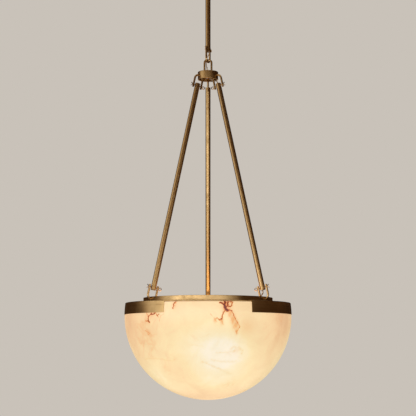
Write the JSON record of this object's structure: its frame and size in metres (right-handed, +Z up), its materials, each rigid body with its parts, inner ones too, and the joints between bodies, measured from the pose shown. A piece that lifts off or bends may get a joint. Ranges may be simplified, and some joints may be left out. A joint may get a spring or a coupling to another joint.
{
  "type": "alabaster bowl pendant light",
  "caption": "Ceiling pendant light: a veined alabaster bowl in a brass rim hangs by straight rods and wire bails from a small hub, a link and a stem below a ceiling canopy.",
  "frame": {"origin": "centre of the ceiling plane on the stem's axis, midway between the crossbar's two mounting slots", "axes": "+Z up to the ceiling, -Y towards the viewer, +X to the viewer's right"},
  "size_m": [0.4584, 0.4577, 1.2951],
  "materials": {
    "aged_brass": "aged, turned and hand rubbed",
    "alabaster": "turned, polished, translucent with brown veins",
    "plated_steel": "zinc plated",
    "rubber": "matt",
    "silicone": "milky, soft",
    "nylon": "moulded",
    "clear_pvc": "clear sheath over two conductors",
    "porcelain": "glazed",
    "bulb_glass": "frosted",
    "bulb_body": "moulded"
  },
  "bodies": {
    "ceiling_mount": {"crossbar": "plated_steel", "ground_screw": "plated_steel", "nipple_nuts": "plated_steel", "stem_nipple": "plated_steel", "stem_bush": "plated_steel", "stem_tube": "aged_brass", "stem_pin": "aged_brass", "cord_in_stem": "clear_pvc", "supply_block": "nylon"},
    "canopy": {"canopy_cup": "aged_brass", "canopy_collar": "aged_brass", "collar_screw": "aged_brass"},
    "link": {"link_bail": "aged_brass", "cord_by_link": "clear_pvc"},
    "pendant": {"hub_cup": "aged_brass", "hub_bail": "aged_brass", "collar_ring": "aged_brass", "rim_plate": "aged_brass", "spider_bracket": "aged_brass", "rod_front_left": "aged_brass", "upper_bail_front_left": "aged_brass", "lower_bail_front_left": "aged_brass", "upper_pin_front_left": "aged_brass", "lower_pin_front_left": "aged_brass", "rim_tab_front_left": "aged_brass", "rod_front_right": "aged_brass", "upper_bail_front_right": "aged_brass", "lower_bail_front_right": "aged_brass", "upper_pin_front_right": "aged_brass", "lower_pin_front_right": "aged_brass", "rim_tab_front_right": "aged_brass", "rod_back": "aged_brass", "upper_bail_back": "aged_brass", "lower_bail_back": "aged_brass", "upper_pin_back": "aged_brass", "lower_pin_back": "aged_brass", "rim_tab_back": "aged_brass", "hub_bail_nuts": "plated_steel", "collar_screws": "plated_steel", "spider_bolts": "plated_steel", "tab_studs": "plated_steel", "tab_nuts": "plated_steel", "lampholder_nuts": "plated_steel", "alabaster_bowl": "alabaster", "tab_washers": "rubber", "rim_gasket": "silicone", "cord_bushing": "nylon", "splice_block": "nylon", "cord_above_hub": "clear_pvc", "cord_to_lamps": "clear_pvc", "lamp_leads": "clear_pvc", "lampholder_front": "porcelain", "lampholder_right": "porcelain", "lampholder_left": "porcelain", "bulb_globe_front": "bulb_glass", "bulb_globe_right": "bulb_glass", "bulb_globe_left": "bulb_glass", "bulb_base_front": "bulb_body", "bulb_base_right": "bulb_body", "bulb_base_left": "bulb_body"}
  },
  "joints": [
    {"name": "canopy_drop", "type": "slide", "parent": "ceiling_mount", "child": "canopy", "axis": [0, 0, 1], "range_m": [-0.15, 0]},
    {"name": "link_swing", "type": "hinge", "parent": "ceiling_mount", "child": "link", "pos_m": [0, 0, -0.3182], "axis": [-0.3907, -0.9205, 0], "range_deg": [-25, 25], "deforming": ["cord_by_link"]},
    {"name": "hub_swing", "type": "hinge", "parent": "link", "child": "pendant", "pos_m": [0, 0, -0.3494], "axis": [1, 0, 0], "range_deg": [-25, 25], "deforming": ["cord_above_hub"]}
  ]
}
